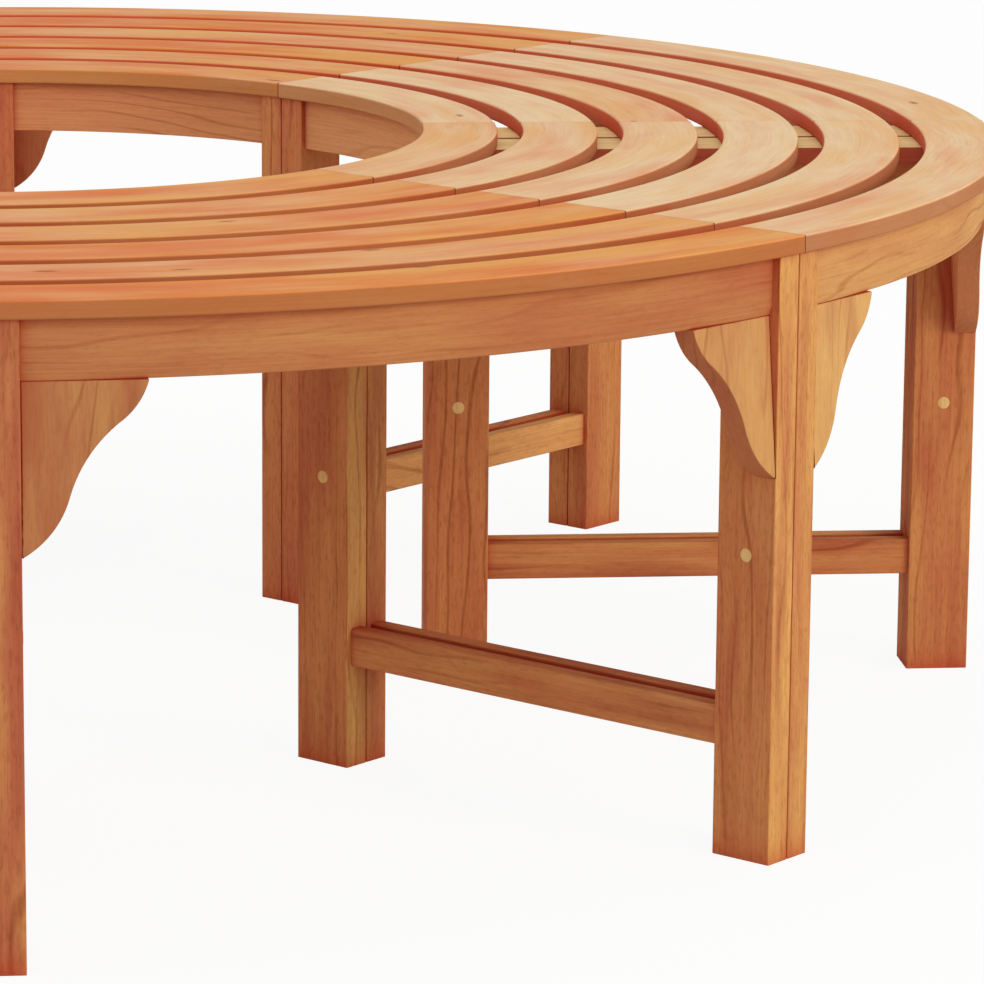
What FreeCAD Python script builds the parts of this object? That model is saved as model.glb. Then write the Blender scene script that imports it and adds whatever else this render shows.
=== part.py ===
import FreeCAD, Part
import math
import os

import Sketcher
from FreeCAD import Placement, Rotation, Vector

# A round slatted bench that stands around a tree, in oiled hardwood.
# It is a ring of equal sections bolted side by side. Each section has curved slats,
# a curved apron outside and one inside, and a leg frame at either end.
#
# Frame: the origin is on the ground at the centre of the ring, +Z up, millimetres.
# The first seam between two sections lies on +X.
#
# A leg frame is modelled on its seam: X runs outward along the seam, Y runs from the
# seam into the section, Z runs up. It is then turned to the section's right-hand end,
# and mirrored for the left-hand end.

SIZES = {
    # The seat
    "seat_radius": 800,
    "seat_height": 450,
    "section_count": 8,
    "section_gap": 0.8,
    "slat_count": 6,
    "slat_width": 59,
    "slat_gap": 20,
    "slat_thickness": 13,
    "slat_rounding": 2,
    # The legs
    "leg_depth": 50,
    "leg_thickness": 22.2,
    "leg_rounding": 1.2,
    "outer_overhang": 4.5,
    "inner_overhang": 4,
    # The curved aprons between the legs
    "apron_height": 42,
    "apron_thickness": 20,
    "apron_setback": 6,
    "apron_bevel_rise": 6.5,
    "apron_bevel_depth": 2.5,
    # The flat bearers that carry the slats
    "bearer_width": 59,
    "bearer_thickness": 13,
    "bearer_inset": 3,
    "fit_clearance": 0.15,
    # The top rails and the low stretchers
    "rail_thickness": 20,
    "stretcher_thickness": 13,
    "stretcher_height": 29,
    "stretcher_rise": 79,
    "rail_rounding": 1.5,
    # The stub tenons
    "tenon_thickness": 8,
    "tenon_length": 12,
    "tenon_shoulder": 4,
    "apron_tenon_length": 8,
    # The scrolled brackets under the outer aprons
    "bracket_width": 83,
    "bracket_height": 115,
    "bracket_thickness": 18,
    "bracket_shoulder_reach": 66,
    "bracket_shoulder_drop": 26,
    "bracket_waist_reach": 31,
    "bracket_waist_drop": 76,
    "bracket_shoulder_radius": 50,
    "bracket_hollow_radius": 96,
    "bracket_belly_radius": 65,
    "bracket_setback": 8.5,
    "bracket_tilt": 4.2,
    "bracket_turn": 2.3,
    "bracket_trim": 8,
    # The bolts that join two sections, and the plugs over them
    "bolt_rise": 222,
    "bolt_diameter": 6,
    "bolt_head_diameter": 9.6,
    "bolt_head_length": 4.2,
    "plug_diameter": 10,
    "plug_length": 6,
    # The wood screws
    "screw_diameter": 4,
    "screw_length": 21,
    "screw_head_diameter": 8,
    "screw_head_length": 2.6,
    "screw_reach": 42,
}

doc = FreeCAD.newDocument("tree_bench")
sheet = doc.addObject("Spreadsheet::Sheet", "Sizes")
for row, (alias, number) in enumerate(SIZES.items(), start=1):
    sheet.set(f"A{row}", alias)
    sheet.set(f"B{row}", str(number))
    sheet.setAlias(f"B{row}", alias)
doc.recompute()

# Places worked out from the sizes, as expressions for the document
SECTION_ANGLE = "(360 / Sizes.section_count)"
HALF_ANGLE = "(180 / Sizes.section_count)"
SLAT_PITCH = "(Sizes.slat_width + Sizes.slat_gap)"
SLAT_LOW = "(Sizes.seat_height - Sizes.slat_thickness)"
SEAM_SIDE = "(Sizes.section_gap / 2)"
LEG_SIDE = f"({SEAM_SIDE} + Sizes.leg_thickness)"
LEG_MIDDLE = f"({SEAM_SIDE} + Sizes.leg_thickness / 2)"
OUTER_LEG_OUT = "(Sizes.seat_radius - Sizes.outer_overhang)"
OUTER_LEG_IN = f"({OUTER_LEG_OUT} - Sizes.leg_depth)"
HOLE_RADIUS = f"(Sizes.seat_radius - (Sizes.slat_count - 1) * {SLAT_PITCH} - Sizes.slat_width)"
INNER_LEG_IN = f"({HOLE_RADIUS} + Sizes.inner_overhang)"
INNER_LEG_OUT = f"({INNER_LEG_IN} + Sizes.leg_depth)"
APRON_LOW = f"({SLAT_LOW} - Sizes.apron_height)"
OUTER_APRON_IN = f"({OUTER_LEG_OUT} - Sizes.apron_setback - Sizes.apron_thickness)"
INNER_APRON_IN = f"({INNER_LEG_IN} + Sizes.apron_setback)"
BEARER_LOW = f"({SLAT_LOW} - Sizes.bearer_thickness)"
BEARER_FAR = "(Sizes.bearer_inset + Sizes.bearer_width)"
BEARER_IN = f"({INNER_APRON_IN} + Sizes.apron_thickness + Sizes.fit_clearance)"
BEARER_OUT = f"(sqrt({OUTER_APRON_IN} ^ 2 - {BEARER_FAR} ^ 2) - Sizes.fit_clearance)"
RAIL_HEIGHT = f"({BEARER_LOW} - {APRON_LOW})"
COUNTERBORE = "(Sizes.plug_length + Sizes.bolt_head_length)"


def value(expression):
    """The number that an expression gives with the present sizes."""
    return float(sheet.evalExpression(expression))


def sum_of(*terms):
    return "(" + " + ".join(terms) + ")"


def bind(obj, **expressions):
    """Bind properties of an object to expressions; an underscore stands for a dot."""
    for name, expression in expressions.items():
        obj.setExpression(name.replace("_", "."), expression)


def origin_plane(body, role):
    return next(plane for plane in body.Origin.OriginFeatures if plane.Role == role)


def new_sketch(body, role):
    sketch = body.newObject("Sketcher::SketchObject", body.Name + "_sketch")
    sketch.AttachmentSupport = (origin_plane(body, role), [""])
    sketch.MapMode = "FlatFace"
    return sketch


def dimension(sketch, kind, first, second, name, expression):
    """Add a named distance from one point to another and bind it."""
    number = sketch.addConstraint(
        Sketcher.Constraint(kind, *first, *second, value(expression)))
    sketch.renameConstraint(number, name)
    sketch.setExpression("Constraints." + name, expression)


def rectangle(sketch, left, width, low, height):
    """Draw a rectangle right of and above the sketch's origin, each size bound."""
    x0, y0 = value(left), value(low)
    x1, y1 = x0 + value(width), y0 + value(height)
    corners = [Vector(x0, y0), Vector(x1, y0), Vector(x1, y1), Vector(x0, y1)]
    for index in range(4):
        line = Part.LineSegment(corners[index], corners[(index + 1) % 4])
        sketch.addGeometry(line, False)
    for index in range(4):
        sketch.addConstraint(Sketcher.Constraint("Coincident", index, 2, (index + 1) % 4, 1))
    for index, kind in enumerate(["Horizontal", "Vertical", "Horizontal", "Vertical"]):
        sketch.addConstraint(Sketcher.Constraint(kind, index))
    origin = (-1, 1)
    dimension(sketch, "DistanceX", origin, (0, 1), "left_edge", left)
    dimension(sketch, "DistanceY", origin, (0, 1), "low_edge", low)
    dimension(sketch, "DistanceX", (0, 1), (0, 2), "wide", width)
    dimension(sketch, "DistanceY", (1, 1), (1, 2), "tall", height)


def edge_names(shape, wanted):
    return [f"Edge{i}" for i, edge in enumerate(shape.Edges, start=1) if wanted(edge)]


def runs_along(axis):
    """A test for straight edges that run along an axis."""
    def test(edge):
        if edge.Curve.TypeId != "Part::GeomLine":
            return False
        return abs(edge.tangentAt(edge.FirstParameter).dot(axis)) > 0.999
    return test


def is_arc(edge):
    return edge.Curve.TypeId == "Part::GeomCircle"


def round_edges(body, feature, wanted, radius):
    doc.recompute()
    fillet = body.newObject("PartDesign::Fillet", body.Name + "_rounding")
    fillet.Base = (feature, edge_names(feature.Shape, wanted))
    bind(fillet, Radius=radius)
    return fillet


def plank(name, x, y, z, rounding=None, axis=None):
    """A straight board. x, y and z each give its low side and its size."""
    body = doc.addObject("PartDesign::Body", name)
    sketch = new_sketch(body, "XY_Plane")
    sketch.setExpression("AttachmentOffset.Base.z", z[0])
    rectangle(sketch, x[0], x[1], y[0], y[1])
    pad = body.newObject("PartDesign::Pad", name + "_pad")
    pad.Profile = sketch
    bind(pad, Length=z[1])
    if rounding:
        round_edges(body, pad, runs_along(axis), rounding)
    return body


def curved_board(name, inner, width, low, height):
    """A board sawn to the ring's curve, one section long. Gives its body and its turn."""
    body = doc.addObject("PartDesign::Body", name)
    sketch = new_sketch(body, "XZ_Plane")
    rectangle(sketch, inner, width, low, height)
    turn = body.newObject("PartDesign::Revolution", name + "_turn")
    turn.Profile = sketch
    turn.ReferenceAxis = (sketch, ["V_Axis"])
    turn.Midplane = True
    bind(turn, Angle=SECTION_ANGLE)
    return body, turn


def block(name, x, y, z):
    """A plain box for tenons, mortises and trimming. Each pair is a low side and a size."""
    box = doc.addObject("Part::Box", name)
    for axis, side, (low, size) in zip("xyz", ("Length", "Width", "Height"), (x, y, z)):
        box.setExpression("Placement.Base." + axis, low)
        box.setExpression(side, size)
    return box


# Ways a round piece can point from its base
UP = Rotation(Vector(1, 0, 0), 0)
DOWN = Rotation(Vector(1, 0, 0), 180)
INTO_SECTION = Rotation(Vector(1, 0, 0), -90)
TOWARDS_SEAM = Rotation(Vector(1, 0, 0), 90)


def set_base(obj, base, way=UP):
    obj.Placement = Placement(Vector(), way)
    for axis, expression in zip("xyz", base):
        obj.setExpression("Placement.Base." + axis, expression)


def rod(name, diameter, length, base, way=UP):
    """A cylinder from its base along a way."""
    cylinder = doc.addObject("Part::Cylinder", name)
    set_base(cylinder, base, way)
    bind(cylinder, Radius=f"{diameter} / 2", Height=length)
    return cylinder


def taper(name, base_diameter, tip_diameter, length, base, way=UP):
    cone = doc.addObject("Part::Cone", name)
    set_base(cone, base, way)
    bind(cone, Radius1=f"{base_diameter} / 2", Radius2=f"{tip_diameter} / 2", Height=length)
    return cone


def fused(name, parts):
    fuse = doc.addObject("Part::MultiFuse", name)
    fuse.Shapes = parts
    return fuse


def group(name, parts):
    """Several separate solids held as one shape."""
    compound = doc.addObject("Part::Compound", name)
    compound.Links = parts
    return compound


def less(name, base, tools):
    """The base with the tools cut away."""
    cut = doc.addObject("Part::Cut", name)
    cut.Base = base
    cut.Tool = tools[0] if len(tools) == 1 else group(name + "_tools", tools)
    return cut


def turned(name, parts, angle):
    """The parts turned about the ring's axis."""
    compound = group(name, parts)
    compound.Placement = Placement(Vector(), Rotation(Vector(0, 0, 1), 1))
    compound.setExpression("Placement.Rotation.Angle", angle)
    return compound


def mirrored(name, part):
    """The part mirrored across the section's middle."""
    mirror = doc.addObject("Part::Mirroring", name)
    mirror.Source = part
    mirror.Normal = Vector(0, 1, 0)
    return mirror


def both_ends(name, parts):
    """Frame pieces at the section's right-hand end, and their mirror image at the left."""
    right = turned(name + "_right", parts, f"-{HALF_ANGLE}")
    left = mirrored(name + "_left", right)
    return [right, left]


# Every section centres on +X until it is turned to its place
def sector(name, side):
    """The wedge of one section, with both of its faces set in from the seams by side."""
    wedge = doc.addObject("Part::Cylinder", name)
    wedge.Placement = Placement(Vector(), Rotation(Vector(0, 0, 1), 1))
    wedge.setExpression("Placement.Rotation.Angle", f"-{HALF_ANGLE}")
    wedge.setExpression("Placement.Base.x", f"{side} / sin({HALF_ANGLE})")
    bind(wedge, Radius="Sizes.seat_radius", Height="Sizes.seat_height", Angle=SECTION_ANGLE)
    return wedge


def within(name, part, wedge):
    common = doc.addObject("Part::Common", name)
    common.Base = part
    common.Tool = wedge
    return common


# Wood screws: a countersunk head and a plain shank
def screw(name, base, way, spare="0"):
    """A screw, or with some spare diameter the hole for it."""
    head_width = sum_of("Sizes.screw_head_diameter", spare)
    shank_width = sum_of("Sizes.screw_diameter", spare)
    head = taper(name + "_head", head_width, shank_width, "Sizes.screw_head_length", base, way)
    shank = rod(name + "_shank", shank_width, "Sizes.screw_length", base, way)
    return fused(name, [head, shank])


def slat_middle(ring):
    """The middle of a slat, counted from 0 at the hole."""
    return f"({HOLE_RADIUS} + {ring} * {SLAT_PITCH} + Sizes.slat_width / 2)"


def screw_lines(slat_count):
    """Where screws go: one up into each slat, and three down into the rail under slats."""
    places = []
    for ring in range(slat_count):
        x = slat_middle(ring)
        if ring == 0:
            x = f"(({BEARER_IN} + {HOLE_RADIUS} + Sizes.slat_width) / 2)"
        if ring == slat_count - 1:
            x = f"((({OUTER_APRON_IN}) + Sizes.seat_radius - Sizes.slat_width) / 2)"
        places.append((x, "Sizes.screw_reach", BEARER_LOW, UP))
    for ring in (1, slat_count // 2, slat_count - 2):
        places.append((slat_middle(ring), LEG_MIDDLE, SLAT_LOW, DOWN))
    return places


slat_count = int(value("Sizes.slat_count"))
section_count = int(value("Sizes.section_count"))
PLACES = screw_lines(slat_count)
frame_screws = []
frame_screw_holes = []
for number, (x, y, z, way) in enumerate(PLACES, start=1):
    frame_screws.append(screw(f"screw_{number}", (x, y, z), way))
    hole = screw(f"screw_hole_{number}", (x, y, z), way, "Sizes.fit_clearance")
    frame_screw_holes.append(hole)
slat_screw_holes = both_ends("slat_screw_holes", frame_screw_holes[:slat_count])


# Slats: curved boards side by side, rounded along their edges, screwed from below
def build_slats():
    wedge = sector("slat_sector", SEAM_SIDE)
    slats = []
    for ring in range(slat_count):
        name = f"slat_{ring + 1}"
        inner = f"({HOLE_RADIUS} + {ring} * {SLAT_PITCH})"
        body, turn = curved_board(
            name + "_board", inner, "Sizes.slat_width", SLAT_LOW, "Sizes.slat_thickness")
        round_edges(body, turn, is_arc, "Sizes.slat_rounding")
        sawn = within(name + "_sawn", body, wedge)
        slats.append(less(name, sawn, slat_screw_holes))
    return slats


# Aprons: curved boards between the legs, with a stub tenon into each leg
def apron_tenon(name, middle, spare="0"):
    """A tenon on the seam's frame, or with some spare size its mortise."""
    thick = sum_of("Sizes.tenon_thickness", spare)
    tall = f"(Sizes.apron_height - 2 * Sizes.tenon_shoulder + {spare})"
    x = (f"({middle} - {thick} / 2)", thick)
    y = (f"({LEG_SIDE} - Sizes.apron_tenon_length - {spare} / 2)",
         f"(2 * Sizes.apron_tenon_length + {spare})")
    z = (f"({APRON_LOW} + Sizes.tenon_shoulder - {spare} / 2)", tall)
    return block(name, x, y, z)


OUTER_APRON_MIDDLE = f"({OUTER_APRON_IN} + Sizes.apron_thickness / 2)"
INNER_APRON_MIDDLE = f"({INNER_APRON_IN} + Sizes.apron_thickness / 2)"


def build_apron(name, inner, middle, bevel):
    body, turn = curved_board(
        name + "_board", inner, "Sizes.apron_thickness", APRON_LOW, "Sizes.apron_height")
    if bevel:
        doc.recompute()
        low, reach = value(APRON_LOW), value(inner) + value("Sizes.apron_thickness")

        def lower_outer_edge(edge):
            if not is_arc(edge) or abs(edge.Curve.Center.z - low) > 0.01:
                return False
            return abs(edge.Curve.Radius - reach) < 0.01

        chamfer = body.newObject("PartDesign::Chamfer", name + "_bevel")
        chamfer.Base = (turn, edge_names(turn.Shape, lower_outer_edge))
        chamfer.ChamferType = "Two distances"
        bind(chamfer, Size="Sizes.apron_bevel_rise", Size2="Sizes.apron_bevel_depth")
        doc.recompute()
        if bevel_is_flat(chamfer.Shape, low, reach):
            chamfer.FlipDirection = True
    sawn = within(name + "_sawn", body, sector(name + "_sector", LEG_SIDE))
    tenons = both_ends(name + "_tenons", [apron_tenon(name + "_tenon", middle)])
    return fused(name, [sawn] + tenons)


def bevel_is_flat(shape, low, reach):
    """Whether a bevel runs further along the underside than up the face."""
    radii = [e.Curve.Radius for e in shape.Edges
             if is_arc(e) and abs(e.Curve.Center.z - low) < 0.01]
    return reach - max(radii) > value("Sizes.apron_bevel_depth") + 0.01


# Rails and stretchers: straight boards from leg to leg with a stub tenon at each end
RUN = (INNER_LEG_OUT, f"({OUTER_LEG_IN} - {INNER_LEG_OUT})")


def rail_tenons(name, low, height, spare="0"):
    """Both tenons of a rail, or with some spare size their mortises."""
    thick = sum_of("Sizes.tenon_thickness", spare)
    length = f"(2 * Sizes.tenon_length + {spare})"
    y = (f"({LEG_MIDDLE} - {thick} / 2)", thick)
    z = (f"({low} + Sizes.tenon_shoulder - {spare} / 2)",
         f"({height} - 2 * Sizes.tenon_shoulder + {spare})")
    inner = (f"({INNER_LEG_OUT} - Sizes.tenon_length - {spare} / 2)", length)
    outer = (f"({OUTER_LEG_IN} - Sizes.tenon_length - {spare} / 2)", length)
    return [block(name + "_inner", inner, y, z), block(name + "_outer", outer, y, z)]


RAIL_PLACE = (APRON_LOW, RAIL_HEIGHT)
STRETCHER_PLACE = ("Sizes.stretcher_rise", "Sizes.stretcher_height")


def build_rail(name, thickness, place, holes):
    y = (f"({LEG_MIDDLE} - {thickness} / 2)", thickness)
    board = plank(name + "_board", RUN, y, place, "Sizes.rail_rounding", Vector(1, 0, 0))
    if holes:
        board = less(name + "_drilled", board, holes)
    return fused(name, [board] + rail_tenons(name + "_tenon", *place))


# Legs: square-edged posts with their mortises and the stepped hole for the joining bolt
def bolt_hole(name, middle):
    spare = "Sizes.fit_clearance"
    through = rod(name + "_through", sum_of("Sizes.bolt_diameter", spare), LEG_SIDE,
                  (middle, "0", "Sizes.bolt_rise"), INTO_SECTION)
    seat = rod(name + "_seat", sum_of("Sizes.plug_diameter", spare), COUNTERBORE,
               (middle, LEG_SIDE, "Sizes.bolt_rise"), TOWARDS_SEAM)
    return fused(name, [through, seat])


def build_leg(name, inner, apron_middle):
    middle = sum_of(inner, "Sizes.leg_depth / 2")
    post = plank(name + "_post", (inner, "Sizes.leg_depth"), (SEAM_SIDE, "Sizes.leg_thickness"),
                 ("0", SLAT_LOW), "Sizes.leg_rounding", Vector(0, 0, 1))
    spare = "Sizes.fit_clearance"
    tools = rail_tenons(name + "_rail_mortise", *RAIL_PLACE, spare)
    tools += rail_tenons(name + "_stretcher_mortise", *STRETCHER_PLACE, spare)
    tools.append(apron_tenon(name + "_apron_mortise", apron_middle, spare))
    tools.append(bolt_hole(name + "_bolt_hole", middle))
    return less(name, post, tools)


# Bearers: flat boards on the top rails, notched around both legs
def build_bearer():
    x = (BEARER_IN, f"({BEARER_OUT} - {BEARER_IN})")
    y = ("Sizes.bearer_inset", "Sizes.bearer_width")
    board = plank("bearer_board", x, y, (BEARER_LOW, "Sizes.bearer_thickness"))
    spare = "Sizes.fit_clearance"
    notch_y = ("0", f"({LEG_SIDE} + {spare})")
    notch_z = (APRON_LOW, "Sizes.apron_height")
    deep = f"(Sizes.leg_depth + {spare})"
    inner = block("bearer_inner_notch", (INNER_LEG_IN, deep), notch_y, notch_z)
    outer = block("bearer_outer_notch", (f"({OUTER_LEG_IN} - {spare})", deep), notch_y, notch_z)
    return less("bearer", board, [inner, outer] + frame_screw_holes)


# Brackets: scrolled boards under the outer apron, leaning a little against the leg.
# The blank is drawn too large where it meets the leg and the apron, and trimmed there.
def build_bracket():
    body = doc.addObject("PartDesign::Body", "bracket_board")
    sketch = new_sketch(body, "YZ_Plane")
    names = ["width", "shoulder_reach", "shoulder_drop", "waist_reach", "waist_drop", "height",
             "trim", "shoulder_radius", "hollow_radius", "belly_radius"]
    size = {name: value("Sizes.bracket_" + name) for name in names}
    tip = Vector(size["width"], 0)
    shoulder = Vector(size["shoulder_reach"], -size["shoulder_drop"])
    waist = Vector(size["waist_reach"], -size["waist_drop"])
    toe = Vector(0, -size["height"])
    heel = Vector(-size["trim"], -size["height"])
    back = Vector(-size["trim"], size["trim"])
    head = Vector(size["width"], size["trim"])

    def line(start, end):
        return Part.LineSegment(start, end), 1, 2

    def bowed(start, end, radius, side):
        """An arc that bulges to the right of the way from start to end, or with side -1
        to its left. Its points are numbered anticlockwise."""
        chord = end - start
        across = Vector(chord.y, -chord.x).normalize() * side
        away = math.sqrt(radius ** 2 - (chord.Length / 2) ** 2)
        centre = (start + end) / 2 - across * away
        points = [start, end] if side > 0 else [end, start]
        angles = [math.atan2(p.y - centre.y, p.x - centre.x) for p in points]
        arc = Part.ArcOfCircle(Part.Circle(centre, Vector(0, 0, 1), radius), *angles)
        return (arc, 1, 2) if side > 0 else (arc, 2, 1)

    outline = [
        line(head, tip),
        bowed(tip, shoulder, size["shoulder_radius"], -1),
        bowed(shoulder, waist, size["hollow_radius"], 1),
        bowed(waist, toe, size["belly_radius"], -1),
        line(toe, heel),
        line(heel, back),
        line(back, head),
    ]
    for piece, _, _ in outline:
        sketch.addGeometry(piece, False)
    starts = [start for _, start, _ in outline]
    ends = [end for _, _, end in outline]
    for index in range(len(outline)):
        after = (index + 1) % len(outline)
        sketch.addConstraint(Sketcher.Constraint(
            "Coincident", index, ends[index], after, starts[after]))
    for index, kind in ((0, "Vertical"), (4, "Horizontal"), (5, "Vertical"), (6, "Horizontal")):
        sketch.addConstraint(Sketcher.Constraint(kind, index))
    origin, reach = (-1, 1), "Sizes.bracket_"
    tip_at, shoulder_at, waist_at, toe_at = ((i, starts[i]) for i in (1, 2, 3, 4))
    sketch.addConstraint(Sketcher.Constraint("PointOnObject", *tip_at, -1))
    sketch.addConstraint(Sketcher.Constraint("PointOnObject", *toe_at, -2))
    for kind, first, second, name, source in (
            ("DistanceX", origin, tip_at, "width", "width"),
            ("DistanceY", tip_at, (0, 1), "head_trim", "trim"),
            ("DistanceX", (4, 2), origin, "heel_trim", "trim"),
            ("DistanceY", toe_at, origin, "height", "height"),
            ("DistanceX", origin, shoulder_at, "shoulder_reach", "shoulder_reach"),
            ("DistanceY", shoulder_at, origin, "shoulder_drop", "shoulder_drop"),
            ("DistanceX", origin, waist_at, "waist_reach", "waist_reach"),
            ("DistanceY", waist_at, origin, "waist_drop", "waist_drop")):
        dimension(sketch, kind, first, second, name, reach + source)
    for index, name in ((1, "shoulder_radius"), (2, "hollow_radius"), (3, "belly_radius")):
        number = sketch.addConstraint(Sketcher.Constraint("Radius", index, size[name]))
        sketch.renameConstraint(number, name)
        sketch.setExpression("Constraints." + name, reach + name)
    pad = body.newObject("PartDesign::Pad", "bracket_pad")
    pad.Profile = sketch
    pad.Reversed = True
    bind(pad, Length="Sizes.bracket_thickness")
    body.Placement = Placement(Vector(), Rotation(Vector(0, -1, 0), 1))
    body.setExpression("Placement.Rotation.Angle", "Sizes.bracket_tilt")
    placed = turned("bracket_placed", [body], "Sizes.bracket_turn")
    for axis, place in (("x", f"({OUTER_LEG_OUT} - Sizes.bracket_setback)"),
                        ("y", LEG_SIDE), ("z", APRON_LOW)):
        placed.setExpression("Placement.Base." + axis, place)
    deep = "(2 * Sizes.leg_depth)"
    x = (f"({OUTER_LEG_OUT} - {deep})", f"(2 * {deep})")
    beside = block("bracket_leg_trim", x, (f"({LEG_SIDE} - {deep})", deep),
                   ("0", "Sizes.seat_height"))
    above = block("bracket_apron_trim", x, ("0", f"(2 * Sizes.bracket_width)"),
                  (APRON_LOW, "Sizes.seat_height"))
    return less("bracket", placed, [fused("bracket_trims", [beside, above])])


# Bolts, nuts and plugs, on the seam's frame
def build_bolt(name, middle):
    seat = f"({LEG_SIDE} - {COUNTERBORE})"
    head = rod(name + "_head", "Sizes.bolt_head_diameter", "Sizes.bolt_head_length",
               (middle, seat, "Sizes.bolt_rise"), INTO_SECTION)
    length = f"(2 * {seat} + Sizes.bolt_head_length)"
    shank = rod(name + "_shank", "Sizes.bolt_diameter", length,
                (middle, seat, "Sizes.bolt_rise"), TOWARDS_SEAM)
    return fused(name, [head, shank])


def build_nut(name, middle):
    seat = f"(-({LEG_SIDE} - {COUNTERBORE}))"
    base = (middle, seat, "Sizes.bolt_rise")
    body = rod(name + "_body", "Sizes.bolt_head_diameter", "Sizes.bolt_head_length", base,
               TOWARDS_SEAM)
    thread = rod(name + "_thread", sum_of("Sizes.bolt_diameter", "Sizes.fit_clearance"),
                 "Sizes.bolt_head_length", base, TOWARDS_SEAM)
    return less(name, body, [thread])


def build_plug(name, middle):
    return rod(name, "Sizes.plug_diameter", "Sizes.plug_length",
               (middle, LEG_SIDE, "Sizes.bolt_rise"), TOWARDS_SEAM)


outer_leg = build_leg("outer_leg", OUTER_LEG_IN, OUTER_APRON_MIDDLE)
inner_leg = build_leg("inner_leg", INNER_LEG_IN, INNER_APRON_MIDDLE)
top_rail = build_rail("top_rail", "Sizes.rail_thickness", RAIL_PLACE,
                      frame_screw_holes[slat_count:])
stretcher = build_rail("stretcher", "Sizes.stretcher_thickness", STRETCHER_PLACE, [])
outer_apron = build_apron("outer_apron", OUTER_APRON_IN, OUTER_APRON_MIDDLE, bevel=True)
inner_apron = build_apron("inner_apron", INNER_APRON_IN, INNER_APRON_MIDDLE, bevel=False)

# What one section holds, each entry a node of its own
SECTION = {
    "slats": build_slats(),
    "aprons": [outer_apron, inner_apron],
    "outer_legs": both_ends("outer_leg", [outer_leg]),
    "inner_legs": both_ends("inner_leg", [inner_leg]),
    "rails": both_ends("rails", [top_rail, stretcher]),
    "bearers": both_ends("bearer", [build_bearer()]),
    "brackets": both_ends("bracket", [build_bracket()]),
}

sub_parts = []
for section in range(section_count):
    for kind, pieces in SECTION.items():
        place = f"(({section} + 0.5) * {SECTION_ANGLE})"
        sub_parts.append(turned(f"section_{section + 1}_{kind}", pieces, place))

# Small parts of all sections share a node each
OUTER_LEG_MIDDLE = sum_of(OUTER_LEG_IN, "Sizes.leg_depth / 2")
INNER_LEG_MIDDLE = sum_of(INNER_LEG_IN, "Sizes.leg_depth / 2")
LEG_MIDDLES = {"outer": OUTER_LEG_MIDDLE, "inner": INNER_LEG_MIDDLE}
bolts = [build_bolt(f"{side}_bolt", middle) for side, middle in LEG_MIDDLES.items()]
nuts = [build_nut(f"{side}_nut", middle) for side, middle in LEG_MIDDLES.items()]
plugs = [build_plug(f"{side}_plug", middle) for side, middle in LEG_MIDDLES.items()]


def around(name, parts, first_angle):
    """A node of pieces repeated at every section."""
    copies = []
    for section in range(section_count):
        place = f"({section} * {SECTION_ANGLE} + {first_angle})"
        copies.append(turned(f"{name}_at_{section + 1}", parts, place))
    return group(name, copies)


sub_parts.append(around("joint_bolts", bolts, "0"))
sub_parts.append(around("joint_nuts", nuts, "0"))
sub_parts.append(around("bolt_plugs", both_ends("plug", plugs), HALF_ANGLE))
sub_parts.append(around("wood_screws", both_ends("screws", frame_screws), HALF_ANGLE))

for sub_part in sub_parts:
    sub_part.Label = sub_part.Name
doc.recompute()

for obj in doc.Objects:
    if {"Invalid", "Error"} & set(obj.State):
        raise RuntimeError(f"{obj.Label} failed: {obj.State}")
for sub_part in sub_parts:
    shape = sub_part.Shape
    if shape.isNull() or not shape.isValid() or not shape.Solids:
        raise RuntimeError(f"{sub_part.Label} has no valid shape")

os.makedirs("parts", exist_ok=True)
for sub_part in sub_parts:
    sub_part.Shape.exportStep(f"parts/{sub_part.Label}.step")

solids = sum(len(sub_part.Shape.Solids) for sub_part in sub_parts)
print(f"{len(sub_parts)} nodes, {solids} solids")
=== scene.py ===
# %% [markdown]
# A round wooden bench that stands around a tree. Eight equal sections are bolted side by
# side into a ring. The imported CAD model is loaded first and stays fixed: it gives every
# piece its place, so what is made here only has to dress it. Boards with straight sides
# keep their CAD solids. The curved ones are made again, because a curve needs more and
# smoother faces to be looked at than it needs to be weighed.

# %% Load the frame
import math

import bmesh
import bpy
from mathutils import Matrix, Vector


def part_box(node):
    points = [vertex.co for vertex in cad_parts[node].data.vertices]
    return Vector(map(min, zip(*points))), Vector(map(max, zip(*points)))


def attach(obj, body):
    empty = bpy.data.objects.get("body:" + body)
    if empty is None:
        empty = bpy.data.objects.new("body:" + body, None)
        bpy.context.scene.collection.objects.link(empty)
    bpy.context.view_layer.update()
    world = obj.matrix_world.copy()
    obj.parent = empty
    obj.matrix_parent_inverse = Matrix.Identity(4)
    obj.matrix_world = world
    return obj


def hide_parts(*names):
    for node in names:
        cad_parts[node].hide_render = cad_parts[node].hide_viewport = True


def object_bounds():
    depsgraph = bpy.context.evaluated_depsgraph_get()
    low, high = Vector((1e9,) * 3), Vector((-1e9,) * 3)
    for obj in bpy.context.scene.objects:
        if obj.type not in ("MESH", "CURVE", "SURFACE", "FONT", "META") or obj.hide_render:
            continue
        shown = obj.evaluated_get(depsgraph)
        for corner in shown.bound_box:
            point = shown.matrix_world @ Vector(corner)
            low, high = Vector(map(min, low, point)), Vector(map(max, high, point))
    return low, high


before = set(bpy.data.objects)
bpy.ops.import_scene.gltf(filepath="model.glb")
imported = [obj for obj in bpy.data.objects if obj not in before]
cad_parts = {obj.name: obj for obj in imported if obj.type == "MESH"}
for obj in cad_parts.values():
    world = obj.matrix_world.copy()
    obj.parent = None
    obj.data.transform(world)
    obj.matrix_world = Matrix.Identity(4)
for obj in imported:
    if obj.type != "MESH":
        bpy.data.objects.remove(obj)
cad_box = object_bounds()

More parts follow.
